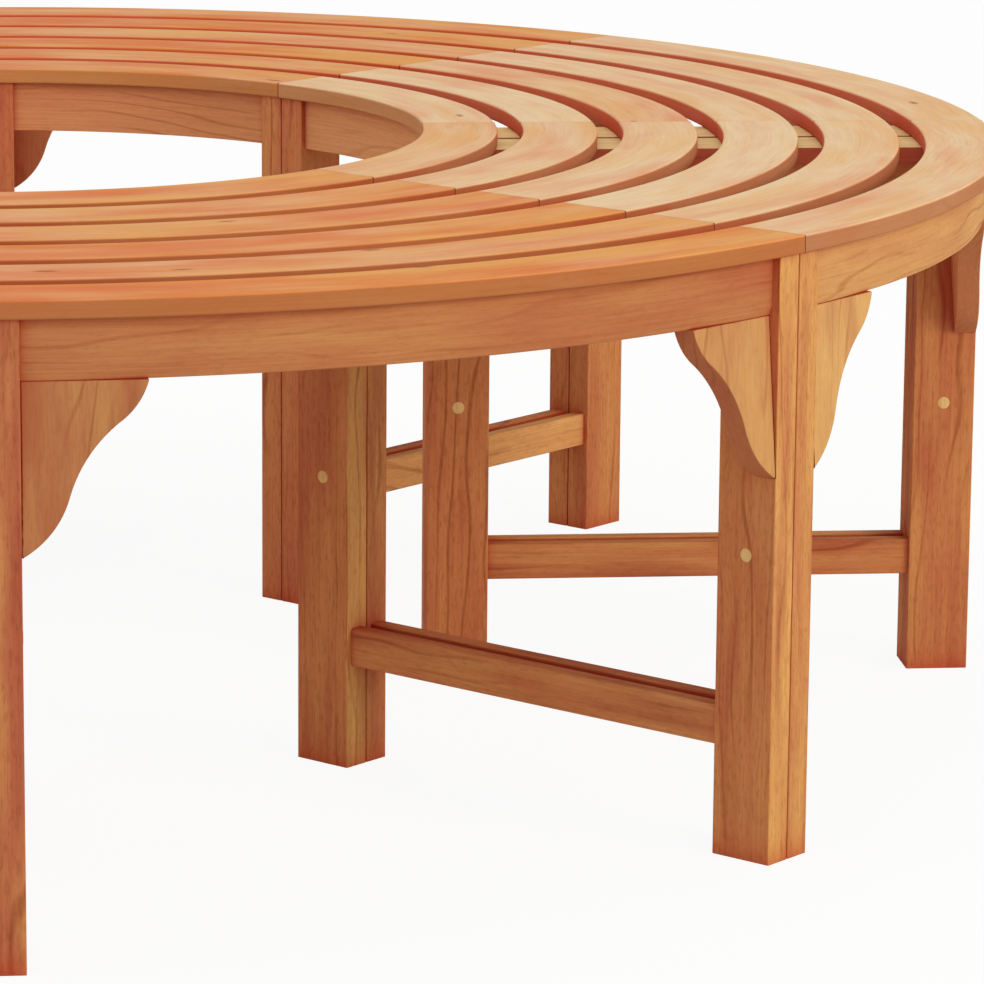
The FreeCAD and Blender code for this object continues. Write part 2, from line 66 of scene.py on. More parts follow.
SECTIONS = 8
SECTION_ANGLE = 2 * math.pi / SECTIONS
SEAT_RADIUS = cad_box[1].x
SEAT_HEIGHT = cad_box[1].z
SLAT_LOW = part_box("section_1_slats")[0].z
APRON_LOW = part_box("section_1_aprons")[0].z
print("seat", round(SEAT_RADIUS, 4), round(SEAT_HEIGHT, 4), "slats from", round(SLAT_LOW, 4))

# %% [markdown]
# The sizes that the curved pieces need, in metres. A seam is the joint between two
# sections, and the first one lies on +X. Each leg stands beside a seam, so one leg's
# thickness is also the distance from the seam to the boards between the legs.

# %% Sizes of the real pieces
MM = 0.001
SLAT_COUNT = 6
SLAT_WIDTH = 59 * MM
SLAT_PITCH = 79 * MM
SLAT_ROUNDING = 2 * MM
HOLE_RADIUS = SEAT_RADIUS - (SLAT_COUNT - 1) * SLAT_PITCH - SLAT_WIDTH
SEAM_SIDE = 0.4 * MM
LEG_THICK = 22.2 * MM
LEG_DEPTH = 50 * MM
LEG_SIDE = SEAM_SIDE + LEG_THICK
OUTER_OVERHANG = 4.5 * MM
INNER_OVERHANG = 4 * MM
OUTER_LEG_OUT = SEAT_RADIUS - OUTER_OVERHANG
INNER_LEG_IN = HOLE_RADIUS + INNER_OVERHANG
APRON_THICK = 20 * MM
APRON_SETBACK = 6 * MM
APRON_OUT = OUTER_LEG_OUT - APRON_SETBACK
INNER_APRON_IN = INNER_LEG_IN + APRON_SETBACK
BEVEL_RISE = 6.5 * MM
BEVEL_DEPTH = 2.5 * MM
BETWEEN_LEGS = (SEAT_RADIUS + HOLE_RADIUS) / 2
print("tree hole", round(2 * HOLE_RADIUS, 4), "across")

# %% [markdown]
# Every node tree below, for shapes and materials, is written with one helper. It adds a
# node, applies its settings, and fills each input with a value or with what another node
# gives. Colours are the sRGB hex values that one reads off a picture, and one function
# turns them into the linear values that light is computed with. A third function starts a
# material with an empty tree. Where a Map Range starts and ends is named before it is
# used, as a table of its sockets: 1 and 2 for what goes in, 3 and 4 for what comes out.


# %% The helpers
def add(tree, kind, inputs=None, **settings):
    """Add a node with its settings. inputs maps a socket to a value, to an output, or to
    a node, which stands for its first output in use."""
    node = tree.nodes.new(kind)
    for name, setting in settings.items():
        setattr(node, name, setting)
    for key, source in (inputs or {}).items():
        if isinstance(source, bpy.types.Node):
            source = next(output for output in source.outputs if output.enabled)
        if isinstance(source, bpy.types.NodeSocket):
            tree.links.new(source, node.inputs[key])
        else:
            node.inputs[key].default_value = source
    return node


def linear(code):
    """An sRGB hex colour as linear RGBA."""
    channels = [int(code[i:i + 2], 16) / 255 for i in (1, 3, 5)]
    curve = [c / 12.92 if c <= 0.04045 else ((c + 0.055) / 1.055) ** 2.4 for c in channels]
    return (*curve, 1.0)


def new_material(name):
    material = bpy.data.materials.new(name)
    material.use_nodes = True
    material.node_tree.nodes.clear()
    return material, material.node_tree


# %% [markdown]
# The bench is oiled eucalyptus, a dense plantation hardwood. Its heartwood runs from
# straw yellow over orange to red-brown, and no two boards match. A pattern has to know
# which way a board runs and where it ends, and that is worked out from the place itself.
# Turned back to its own seam, every leg and rail lies the same way. On a curved board the
# way around the ring is laid out straight, so that the grain follows the curve as it does
# in the photograph. The section's number, the side of the seam and a step across the
# boards name the board, and white noise gives it dice of its own.


# %% Where a point lies on its board
def board_frame(tree, at_seam, axis, start, step, seed):
    """The point and the surface's direction in the board's own frame, the board's dice,
    and the direction that its section or seam faces."""
    half = 0.0 if at_seam else 0.5
    here = add(tree, "ShaderNodeTexCoord").outputs["Object"]
    flat = add(tree, "ShaderNodeSeparateXYZ", {0: here})
    angle = add(tree, "ShaderNodeMath", {0: flat.outputs[1], 1: flat.outputs[0]},
                operation="ARCTAN2")
    turns = add(tree, "ShaderNodeMath", {0: angle, 1: 1 / SECTION_ANGLE, 2: 0.5 - half},
                operation="MULTIPLY_ADD")
    number = add(tree, "ShaderNodeMath", {0: turns}, operation="FLOOR")
    facing = add(tree, "ShaderNodeMath",
                 {0: number, 1: SECTION_ANGLE, 2: half * SECTION_ANGLE},
                 operation="MULTIPLY_ADD")
    back = add(tree, "ShaderNodeMath", {0: facing if at_seam else angle, 1: -1.0},
               operation="MULTIPLY")
    normal = add(tree, "ShaderNodeNewGeometry").outputs["Normal"]
    turned, looks = [add(tree, "ShaderNodeVectorRotate", {"Vector": vector, "Angle": back},
                         rotation_type="Z_AXIS") for vector in (here, normal)]
    local = add(tree, "ShaderNodeSeparateXYZ", {0: turned})
    side = add(tree, "ShaderNodeMath", {0: local.outputs[1]}, operation="SIGN")
    if not at_seam:
        lead = add(tree, "ShaderNodeMath", {0: angle, 1: facing}, operation="SUBTRACT")
        arc = add(tree, "ShaderNodeMath", {0: lead, 1: local.outputs[0]}, operation="MULTIPLY")
        turned = add(tree, "ShaderNodeCombineXYZ",
                     {0: local.outputs[0], 1: arc, 2: local.outputs[2]})
        side = 0.0
    steps = add(tree, "ShaderNodeMath",
                {0: local.outputs["XYZ".index(axis)], 1: 1 / step, 2: -start / step},
                operation="MULTIPLY_ADD")
    row = add(tree, "ShaderNodeMath", {0: steps}, operation="FLOOR")
    row = add(tree, "ShaderNodeMath", {0: row, 1: seed}, operation="ADD")
    name = add(tree, "ShaderNodeCombineXYZ", {0: number, 1: side, 2: row})
    dice = add(tree, "ShaderNodeTexWhiteNoise", {"Vector": name}, noise_dimensions="3D")
    return turned, looks, dice.outputs["Color"], facing


# %% [markdown]
# Wood is drawn out along the board: its marks are many times longer than they are wide.
# So every noise below gets two real sizes, one across the board and one along it.


# %% Noise drawn out along a board
LAYER_SHIFT = 7.3


def grain(tree, board, along, across, lengthwise, layer):
    """Noise whose marks have these sizes in metres. layer moves it, so that no two layers
    show the same marks."""
    size = [1 / across] * 3
    size["XYZ".index(along)] = 1 / lengthwise
    scaled = add(tree, "ShaderNodeVectorMath",
                 {0: board, 1: size, 2: (layer * LAYER_SHIFT,) * 3}, operation="MULTIPLY_ADD")
    return add(tree, "ShaderNodeTexNoise", {"Vector": scaled, "Scale": 1.0, "Detail": 2.0})


# %% [markdown]
# First comes the ground colour, between a deep and a pale tone of the same wood. What makes
# a board pale adds up. "each" is the board's own dice. "shared" is the same for a whole
# section, cut from one log, and highest around +X, where the photograph's pale sections
# are. "drift" and "mottle" change slowly along the board, and "bands" are the stripes of a
# board sawn across its rings. "level" is the tone with each, drift, mottle and bands at
# their middle.


# %% How pale a board is
SHARED_FALL = 4.0
SLOW_NOISE = {"drift": (55 * MM, 420 * MM, 1), "mottle": (22 * MM, 95 * MM, 2),
              "bands": (16 * MM, 300 * MM, 10)}


def ground_tone(tree, board, dice, facing, along, wood):
    """The board's tone at a point, from 0, deep, to 1, pale."""
    front = add(tree, "ShaderNodeMath", {0: facing}, operation="COSINE")
    share = add(tree, "ShaderNodeMath", {0: front, 1: 0.5, 2: 0.5}, operation="MULTIPLY_ADD")
    sources = {"each": add(tree, "ShaderNodeSeparateColor", {0: dice}),
               "shared": add(tree, "ShaderNodeMath", {0: share, 1: SHARED_FALL},
                             operation="POWER")}
    for part, sizes in SLOW_NOISE.items():
        sources[part] = grain(tree, board, along, *sizes)
    tone = wood["level"] - 0.5 * (wood["each"] + sum(wood[part] for part in SLOW_NOISE))
    for part, source in sources.items():
        tone = add(tree, "ShaderNodeMath", {0: source, 1: wood[part], 2: tone},
                   operation="MULTIPLY_ADD")
    return tone


# %% [markdown]
# Redder heartwood and yellower sapwood show as soft patches. One noise makes both: where
# it is high the wood turns red, by "blush", and where it is low it turns golden, by
# "glow". A pale board keeps only the share "calm" of them. The seat in the photograph is
# redder towards its left, so on the slats the noise also rises that way, by "slope".


# %% Red and golden patches
PATCH_LAYER = 3
PATCHES = (("red", "blush", 0.5, 0.68), ("gold", "glow", 0.5, 0.34))


def ground_colour(tree, place, board, facing, along, tone, wood):
    colour = add(tree, "ShaderNodeMix",
                 {0: tone, 6: linear(wood["deep"]), 7: linear(wood["pale"])},
                 data_type="RGBA")
    blotch = grain(tree, board, along, *wood["patch"], PATCH_LAYER)
    arc = add(tree, "ShaderNodeSeparateXYZ", {0: place}).outputs[1]
    slope = add(tree, "ShaderNodeMath", {0: facing}, operation="SINE")
    slope = add(tree, "ShaderNodeMath", {0: slope, 1: wood["slope"]}, operation="MULTIPLY")
    blotch = add(tree, "ShaderNodeMath", {0: arc, 1: slope, 2: blotch},
                 operation="MULTIPLY_ADD")
    for tint, amount, begins, full in PATCHES:
        most = add(tree, "ShaderNodeMapRange",
                   {0: tone, 3: wood[amount], 4: wood["calm"] * wood[amount]})
        patch = add(tree, "ShaderNodeMapRange", {0: blotch, 1: begins, 2: full, 4: most})
        colour = add(tree, "ShaderNodeMix", {0: patch, 6: colour, 7: linear(wood[tint])},
                     data_type="RGBA")
    return colour


# %% [markdown]
# A board isn't the same all around, and its sides are painted with light and shade. The face
# that shows keeps the ground colour. The sides are painted darker and redder, painted shade
# for faces that turn from the light, and reddest are the hollow ones that look to the tree
# across a gap, painted shade of the narrow gap. The inward faces of the aprons are painted
# paler instead, painted light. The innermost side has no gap before it and a painted shade of
# its own. The direction of the surface, in the board's own frame, tells them apart, and
# "turned" is how far they leave the colour of the face.


# %% The sides of a board, painted with light and shade
LOOKS_IN = {1: -0.3, 2: -0.7}
LOOKS_LIKE_FACE = {1: 0.3, 2: 0.9}


def with_painted_sides(tree, place, looks, colour, wood):
    across = add(tree, "ShaderNodeSeparateXYZ", {0: looks}).outputs
    inward = add(tree, "ShaderNodeMapRange", {0: across["X"]} | LOOKS_IN)
    from_axis = add(tree, "ShaderNodeSeparateXYZ", {0: place})
    in_gap = add(tree, "ShaderNodeMath", {0: from_axis, 1: wood["hollow from"]},
                 operation="GREATER_THAN")
    hollow = add(tree, "ShaderNodeMix",
                 {0: in_gap, 6: linear(wood["tree side"]), 7: linear(wood["hollow"])},
                 data_type="RGBA")
    # The sides' colour: painted shade, and on the aprons' inward faces painted light.
    sawn = add(tree, "ShaderNodeMix", {0: inward, 6: linear(wood["side"]), 7: hollow},
               data_type="RGBA")
    turned = add(tree, "ShaderNodeMapRange", LOOKS_LIKE_FACE | {
        0: across[wood["face"]], 3: wood["turned"], 4: 0.0})
    return add(tree, "ShaderNodeMix", {0: turned, 6: colour, 7: sawn}, data_type="RGBA")


# %% [markdown]
# Over the ground lies the figure. Growth rings are thin darker lines, evenly spaced in the
# log, which a slow noise bends as the saw would meet them. They show clearly on parts of a
# board only, so a second noise fades them in and out.


# %% Growth rings
RING_SPACING = 11 * MM
RING_WANDER = 70 * MM
RING_LEAN = 0.6
RING_LINE = {1: 0.75, 2: 1.0}
RING_BENDS = (70 * MM, 320 * MM, 4)
RING_CLEAR = (40 * MM, 200 * MM, 5)
RING_FADE = {1: 0.45, 2: 0.62}


def with_rings(tree, board, along, colour, wood):
    lean = [1.0, RING_LEAN, RING_LEAN]
    lean["XYZ".index(along)] = 0.0
    depth = add(tree, "ShaderNodeVectorMath", {0: board, 1: lean}, operation="DOT_PRODUCT")
    wander = add(tree, "ShaderNodeMath",
                 {0: grain(tree, board, along, *RING_BENDS), 1: RING_WANDER, 2: depth},
                 operation="MULTIPLY_ADD")
    phase = add(tree, "ShaderNodeMath", {0: wander, 1: 2 * math.pi / RING_SPACING},
                operation="MULTIPLY")
    wave = add(tree, "ShaderNodeMath", {0: phase}, operation="SINE")
    line = add(tree, "ShaderNodeMapRange", {0: wave, 4: wood["rings"]} | RING_LINE)
    clear = grain(tree, board, along, *RING_CLEAR)
    clear = add(tree, "ShaderNodeMapRange", {0: clear} | RING_FADE)
    line = add(tree, "ShaderNodeMath", {0: line, 1: clear}, operation="MULTIPLY")
    return add(tree, "ShaderNodeMix", {0: line, 6: colour, 7: linear(wood["streak"])},
               data_type="RGBA", blend_type="MULTIPLY")


# %% [markdown]
# Fibres, flecks and pores are noise at three sizes, drawn out along the board. The last
# two numbers of each are where the noise begins to count as a mark and where it is a full
# one. The pores are drawn twice as wide as real ones, 0.3 mm, because those would vanish
# at the picture's scale. All of them are small grooves too, so the height is kept.


# %% Fibres, flecks and pores
MARKS = {"fibres": (1.6 * MM, 80 * MM, 0.38, 0.72), "flecks": (2.4 * MM, 9 * MM, 0.5, 0.7),
         "pores": (0.6 * MM, 8 * MM, 0.62, 0.74)}
FIRST_MARK_LAYER = 6


def with_marks(tree, board, along, colour, wood):
    """The colour with its marks, and how high the surface stands at each point."""
    height = 0.0
    for layer, (mark, (across, lengthwise, low, high)) in enumerate(MARKS.items()):
        noise = grain(tree, board, along, across, lengthwise, FIRST_MARK_LAYER + layer)
        shown = add(tree, "ShaderNodeMapRange", {0: noise, 1: low, 2: high, 4: wood[mark]})
        tint = wood["pore"] if mark == "pores" else wood["streak"]
        colour = add(tree, "ShaderNodeMix", {0: shown, 6: colour, 7: linear(tint)},
                     data_type="RGBA", blend_type="MULTIPLY")
        height = add(tree, "ShaderNodeMath", {0: height, 1: shown}, operation="SUBTRACT")
    return colour, height


# %% [markdown]
# A few pin knots, where a twig grew, are dark dots with a soft edge. They come from a cell
# pattern: the middle of each cell is one possible knot, and only those that the board
# happens to cut through appear.


# %% Pin knots
KNOT_EVERY = 55 * MM
KNOT_STRETCH = 2.6
KNOT_EDGE = {1: 0.03, 2: 0.075}


def with_knots(tree, board, along, colour, wood):
    size = [1 / KNOT_EVERY] * 3
    size["XYZ".index(along)] = 1 / (KNOT_EVERY * KNOT_STRETCH)
    cells = add(tree, "ShaderNodeVectorMath", {0: board, 1: size}, operation="MULTIPLY")
    knot = add(tree, "ShaderNodeTexVoronoi", {"Vector": cells, "Scale": 1.0})
    knot = add(tree, "ShaderNodeMapRange", {0: knot, 3: wood["knots"], 4: 0.0} | KNOT_EDGE)
    return add(tree, "ShaderNodeMix", {0: knot, 6: colour, 7: linear(wood["pore"])},
               data_type="RGBA")


# %% [markdown]
# The wood is painted redder and darker where other parts are close: painted shade in
# corners, gaps and under things, which also lends the shade its red. Ambient occlusion,
# which feels for them with a few short rays, finds those places on the whole bench at once.


# %% Painted shade in the corners
CORNER_SHADE = "#B02E20"
CORNER_SHADE_REACH = 30 * MM
OPEN_TO_CLOSE = {1: 0.85, 2: 0.25}


def with_corner_shade(tree, colour, wood):
    near = add(tree, "ShaderNodeAmbientOcclusion", {"Distance": CORNER_SHADE_REACH}, samples=4)
    close = add(tree, "ShaderNodeMapRange",
                {0: near.outputs["AO"], 4: wood["corners"]} | OPEN_TO_CLOSE)
    # Painted shade: towards a dark red where parts are close.
    return add(tree, "ShaderNodeMix", {0: close, 6: colour, 7: linear(CORNER_SHADE)}, data_type="RGBA")


# %% [markdown]
# Edges are broken with sandpaper. Those that don't look down are painted a little paler, in
# some places more than in others: a painted highlight, where their rounding catches the
# light. An edge is found by its direction too: it looks partly along two axes of the board,
# where a flat side looks along one.


# %% Painted highlights on the edges
EDGE_HIGHLIGHT_TINT = "#909090"
FLAT_TO_EDGE = {1: 0.05, 2: 0.2}
HIGHLIGHT_PLACES = (12 * MM, 60 * MM, 9)
HIGHLIGHT_SPREAD = {1: 0.35, 2: 0.55}
NOT_DOWN = {1: -0.2, 2: 0.0}


def with_edge_highlights(tree, board, looks, colour, along, wood):
    x, y, z = add(tree, "ShaderNodeSeparateXYZ", {0: looks}).outputs

    # z²(1 - z²) + x²y² is 0 on a flat side and 1/4 on an edge halfway between two
    up = add(tree, "ShaderNodeMath", {0: z, 1: z}, operation="MULTIPLY")
    level = add(tree, "ShaderNodeMath", {0: 1.0, 1: up}, operation="SUBTRACT")
    edge = add(tree, "ShaderNodeMath", {0: up, 1: level}, operation="MULTIPLY")
    corner = add(tree, "ShaderNodeMath", {0: x, 1: y}, operation="MULTIPLY")
    edge = add(tree, "ShaderNodeMath", {0: corner, 1: corner, 2: edge},
               operation="MULTIPLY_ADD")
    edge_highlight = add(tree, "ShaderNodeMapRange", {0: edge, 4: wood["edge_highlight"]} | FLAT_TO_EDGE)
    places = grain(tree, board, along, *HIGHLIGHT_PLACES)
    for value, limits in ((places, HIGHLIGHT_SPREAD), (z, NOT_DOWN)):
        share = add(tree, "ShaderNodeMapRange", {0: value} | limits)
        edge_highlight = add(tree, "ShaderNodeMath", {0: edge_highlight, 1: share}, operation="MULTIPLY")
    # Painted highlight: the edges are dodged towards a lighter colour.
    return add(tree, "ShaderNodeMix", {0: edge_highlight, 6: colour, 7: linear(EDGE_HIGHLIGHT_TINT)},
               data_type="RGBA", blend_type="DODGE")


# %% [markdown]
# Oil leaves hardwood satin, not glossy. It soaks in deeper along the open fibres, so these
# are a little rougher, and the pores stay open as fine grooves, which a bump shows. The IOR
# is that of linseed oil, and what little the surface reflects takes its amber tint. The
# specular level is low, because the seat is seen at a flat angle, where more of it would
# lay a white veil over the wood.


# %% The wood material
BOARD_SHIFT = 9.0
FIBRE_TO_SATIN = {1: -1.0, 2: 0.0, 3: 0.82, 4: 0.64}
GROOVE_DEPTH = 0.4 * MM
OIL_IOR = 1.47
AMBER = "#EAB888"


def hardwood(name, along, at_seam, row, wood):
    """Oiled eucalyptus. along is the axis that a board runs on in its own frame."""
    material, tree = new_material(name)
    place, looks, dice, facing = board_frame(tree, at_seam, *row, wood["seed"])
    board = add(tree, "ShaderNodeVectorMath", {0: dice, 1: (BOARD_SHIFT,) * 3, 2: place},
                operation="MULTIPLY_ADD")
    tone = ground_tone(tree, board, dice, facing, along, wood)
    colour = ground_colour(tree, place, board, facing, along, tone, wood)
    colour = with_painted_sides(tree, place, looks, colour, wood)
    colour = with_rings(tree, board, along, colour, wood)
    colour, height = with_marks(tree, board, along, colour, wood)
    colour = with_knots(tree, board, along, colour, wood)
    colour = with_corner_shade(tree, colour, wood)
    colour = with_edge_highlights(tree, board, looks, colour, along, wood)
    satin = add(tree, "ShaderNodeMapRange", {0: height} | FIBRE_TO_SATIN)
    bump = add(tree, "ShaderNodeBump",
               {"Strength": 0.3, "Distance": GROOVE_DEPTH, "Height": height})
    shader = add(tree, "ShaderNodeBsdfPrincipled",
                 {"Base Color": colour, "Roughness": satin, "Normal": bump,
                  "IOR": OIL_IOR, "Specular IOR Level": 0.03,
                  "Specular Tint": linear(AMBER)})
    add(tree, "ShaderNodeOutputMaterial", {0: shader})
    return material


# %% [markdown]
# The same wood differs from piece to piece. The slats are planed and face the sky, so they
# are the palest. The legs and rails are redder, with open pores and flecks. The brackets
# come from lighter, straighter stock, and the plugs over the bolts are cut from sapwood,
# which is nearly yellow. The bearers are painted almost white, painted light for the light
# that falls on them through the gaps, and their sides deep red, painted shade under the
# slats. Each wood is a table of its colours and of how strong each step above is. It
# starts from the wood that it resembles and names what differs. The seeds were tried until
# the boards in view had about the right tones.

# %% The woods of this bench
# In each table "side", "hollow" and "tree side" are colours of painted shade on the sides, and
# on the aprons "hollow" is painted light.
SLAT = {"pale": "#E5C9A1", "deep": "#DA884A", "red": "#D66C48", "gold": "#E0AA60",
        "side": "#A2643C", "hollow": "#D05A3A", "tree side": "#BC7C4A",
        "hollow from": HOLE_RADIUS + 10 * MM, "streak": "#C8A898", "pore": "#8A5038",
        "patch": (35 * MM, 160 * MM), "seed": 100070, "level": 0.07, "each": 0.5,
        "shared": 0.8, "drift": 0.7, "mottle": 0.8, "bands": 0.0, "blush": 0.5,
        "glow": 0.6, "calm": 0.45, "slope": 0.4, "face": "Z", "turned": 0.85,
        "corners": 0.6, "edge_highlight": 0.35, "rings": 0.12, "fibres": 0.14, "flecks": 0.06,
        "pores": 0.1, "knots": 0.7}
APRON = SLAT | {"pale": "#CE9E64", "deep": "#B07048", "red": "#A8563C", "gold": "#C99A58",
                "side": "#A86A48", "hollow": "#E4986A", "hollow from": 0.0,
                "streak": "#C09080", "pore": "#7A4430",
                "seed": 665910, "level": 0.5, "each": 0.9, "shared": 0.0, "drift": 0.5,
                "mottle": 0.6, "bands": 0.4, "blush": 0.3, "glow": 0.1, "calm": 1.0,
                "slope": 0.0, "face": "X", "turned": 0.55, "corners": 0.8, "edge_highlight": 0.3,
                "rings": 0.4, "fibres": 0.25, "flecks": 0.1, "pores": 0.2, "knots": 0.0}
LEG = APRON | {"pale": "#D8A862", "deep": "#B06446", "red": "#984636", "side": "#BC5C42",
               "hollow": "#C85A48", "streak": "#B07860", "patch": (20 * MM, 190 * MM),
               "seed": 1331226, "turned": 0.45, "drift": 0.8, "mottle": 0.8,
               "bands": 0.9, "blush": 0.45, "glow": 0.2, "rings": 0.5, "fibres": 0.2,
               "flecks": 0.25, "pores": 0.3}
RAIL = LEG | {"pale": "#DEA668", "deep": "#BE7048", "seed": 287823, "turned": 0.0,
              "corners": 1.0, "flecks": 0.15}
# Painted light on the bearers' near-white tops, and painted shade in their deep red sides.
BEARER = RAIL | {"pale": "#FFF0AC", "deep": "#FFDC98", "face": "Z", "side": "#B0302A",
                 "hollow": "#B0302A", "turned": 0.9, "corners": 0.1, "blush": 0.1,
                 "rings": 0.3}
BRACKET = LEG | {"pale": "#CDA066", "deep": "#A66644", "side": "#A4503A",
                 "hollow": "#FFA474", "patch": (35 * MM, 160 * MM), "seed": 605008,
                 "each": 1.0, "drift": 0.5, "mottle": 0.5, "bands": 0.4,
                 "blush": 0.25, "turned": 0.65, "rings": 0.35, "fibres": 0.15,
                 "flecks": 0.1, "pores": 0.15, "knots": 0.8}
PLUG = LEG | {"pale": "#E6C486", "deep": "#D8AC6E", "red": "#D2A05E", "gold": "#E6C07C",
              "turned": 0.0, "corners": 0.0, "edge_highlight": 0.0, "mottle": 0.5, "bands": 0.0,
              "rings": 0.2, "flecks": 0.1}

# %% [markdown]
# Which board a point is on is read off one axis of its frame, in steps of one board. Slats
# are counted outwards, legs and aprons are inner or outer ones, and rails are low or high.
# Where there is only one board, one wide step takes it all.

# %% Each wood for its boards
ONE_ROW = ("X", -1.0, 10.0)
IN_OR_OUT = ("X", BETWEEN_LEGS, 1.0)
LOW_OR_HIGH = ("Z", SEAT_HEIGHT / 2, 1.0)
SLAT_ROWS = ("X", HOLE_RADIUS - (SLAT_PITCH - SLAT_WIDTH) / 2, SLAT_PITCH)
slat_wood = hardwood("oiled eucalyptus, planed slat", "Y", False, SLAT_ROWS, SLAT)
apron_wood = hardwood("oiled eucalyptus, sawn apron", "Y", False, IN_OR_OUT, APRON)
leg_wood = hardwood("oiled eucalyptus, leg", "Z", True, IN_OR_OUT, LEG)
rail_wood = hardwood("oiled eucalyptus, rail", "X", True, LOW_OR_HIGH, RAIL)
bearer_wood = hardwood("oiled eucalyptus, bearer", "X", True, ONE_ROW, BEARER)
bracket_wood = hardwood("oiled eucalyptus, bracket", "Z", True, ONE_ROW, BRACKET)
plug_wood = hardwood("eucalyptus sapwood, plug", "Z", True, IN_OR_OUT, PLUG)
print(len(slat_wood.node_tree.nodes), "nodes in the slats' wood")

# %% [markdown]
# Bolts, nuts and screws are steel with a thin coat of zinc, which is bluish grey and
# slightly cloudy. A metal's colour is what it reflects, so roughness does the rest.


# %% Zinc-plated steel
CLOUD_SIZE = 3 * MM
ZINC_ROUGHNESS = {3: 0.28, 4: 0.46}


def zinc_plate():
    material, tree = new_material("zinc-plated steel")
    here = add(tree, "ShaderNodeTexCoord").outputs["Object"]
    cloud = add(tree, "ShaderNodeTexNoise", {"Vector": here, "Scale": 1 / CLOUD_SIZE})
    spread = add(tree, "ShaderNodeMapRange", {0: cloud} | ZINC_ROUGHNESS)
    tint = add(tree, "ShaderNodeMix", {0: cloud, 6: linear("#A9ADB2"), 7: linear("#C6C9CB")},
               data_type="RGBA")
    shader = add(tree, "ShaderNodeBsdfPrincipled",
                 {"Base Color": tint, "Metallic": 1.0, "Roughness": spread})
    add(tree, "ShaderNodeOutputMaterial", {0: shader})
    return material


steel = zinc_plate()
print(len(steel.node_tree.nodes), "nodes in the steel")

# %% [markdown]
# What repeats on the bench comes from two Geometry Nodes trees. A tree is like a machine
# with dials: its named inputs are the sizes, and they are set from outside. Both end in
# smooth shading, whose sharp places the bevel keeps, and in the material they were given.


# %% How a tree begins and ends
def tree_with_inputs(name, sockets):
    """A new geometry tree with one input for each named socket, and what these give."""
    tree = bpy.data.node_groups.new(name, "GeometryNodeTree")
    for label, kind in sockets:
        tree.interface.new_socket(label, in_out="INPUT", socket_type="NodeSocket" + kind)
    tree.interface.new_socket("Geometry", in_out="OUTPUT", socket_type="NodeSocketGeometry")
    return tree, add(tree, "NodeGroupInput").outputs


def finished(tree, geometry, given):
    smooth = add(tree, "GeometryNodeSetShadeSmooth", {"Geometry": geometry})
    dressed_in = add(tree, "GeometryNodeSetMaterial",
                     {"Geometry": smooth, "Material": given["Material"]})
    add(tree, "NodeGroupOutput", {0: dressed_in})
    return tree


# %% [markdown]
# Slats and aprons are boards sawn to a curve. All of them follow one rule, so one
# Geometry Nodes tree makes them: sweep the board's cross-section along a straight line,
# stand one copy for each row and each section, then bend everything around the ring.
# While a board is still straight, X is its height, Y its radius and Z runs from 0 to 1
# along it.


# %% Boards in rows, still straight
def straight_boards(tree, given):
    """A board for each row of each section. Its section is kept in an attribute."""
    drawing = add(tree, "GeometryNodeObjectInfo", {0: given["Profile"]})
    outline = add(tree, "GeometryNodeMeshToCurve", {0: drawing.outputs["Geometry"]})
    run = add(tree, "GeometryNodeCurvePrimitiveLine", {0: (0, 0, 0), 1: (0, 0, 1)})
    run = add(tree, "GeometryNodeResampleCurve", {"Curve": run, "Count": given["Steps"]})
    board = add(tree, "GeometryNodeCurveToMesh",
                {"Curve": run, "Profile Curve": outline, "Fill Caps": True})
    count = add(tree, "ShaderNodeMath", {0: given["Rows"], 1: given["Sections"]},
                operation="MULTIPLY")
    points = add(tree, "GeometryNodeMeshLine", {"Count": count, "Offset": (0, 0, 0)})
    index = add(tree, "GeometryNodeInputIndex")
    row = add(tree, "ShaderNodeMath", {0: index, 1: given["Rows"]}, operation="MODULO")
    outward = add(tree, "ShaderNodeMath", {0: row, 1: given["Pitch"]}, operation="MULTIPLY")
    middle = add(tree, "ShaderNodeMath", {0: index, 1: 0.5}, operation="ADD")
    section = add(tree, "ShaderNodeMath", {0: middle, 1: given["Rows"]}, operation="DIVIDE")
    section = add(tree, "ShaderNodeMath", {0: section}, operation="FLOOR")
    points = add(tree, "GeometryNodeStoreNamedAttribute",
                 {"Geometry": points, "Name": "section", "Value": section},
                 data_type="FLOAT", domain="POINT")
    points = add(tree, "GeometryNodeSetPosition",
                 {"Geometry": points,
                  "Offset": add(tree, "ShaderNodeCombineXYZ", {1: outward})})
    copies = add(tree, "GeometryNodeInstanceOnPoints", {"Points": points, "Instance": board})
    return add(tree, "GeometryNodeRealizeInstances", {0: copies})


# %% [markdown]
# The long edges of a board are rounded more than those of its sawn ends. A Bevel modifier
# can do both at once if every sharp edge carries a weight, so the tree stores one: 1 for a
# long edge and "End Weight" for one that lies in an end.


# %% Which edges to round
SHARP = math.radians(30)
SHORT_OF_THE_END = 0.4999
BOTH_POINTS = 0.75


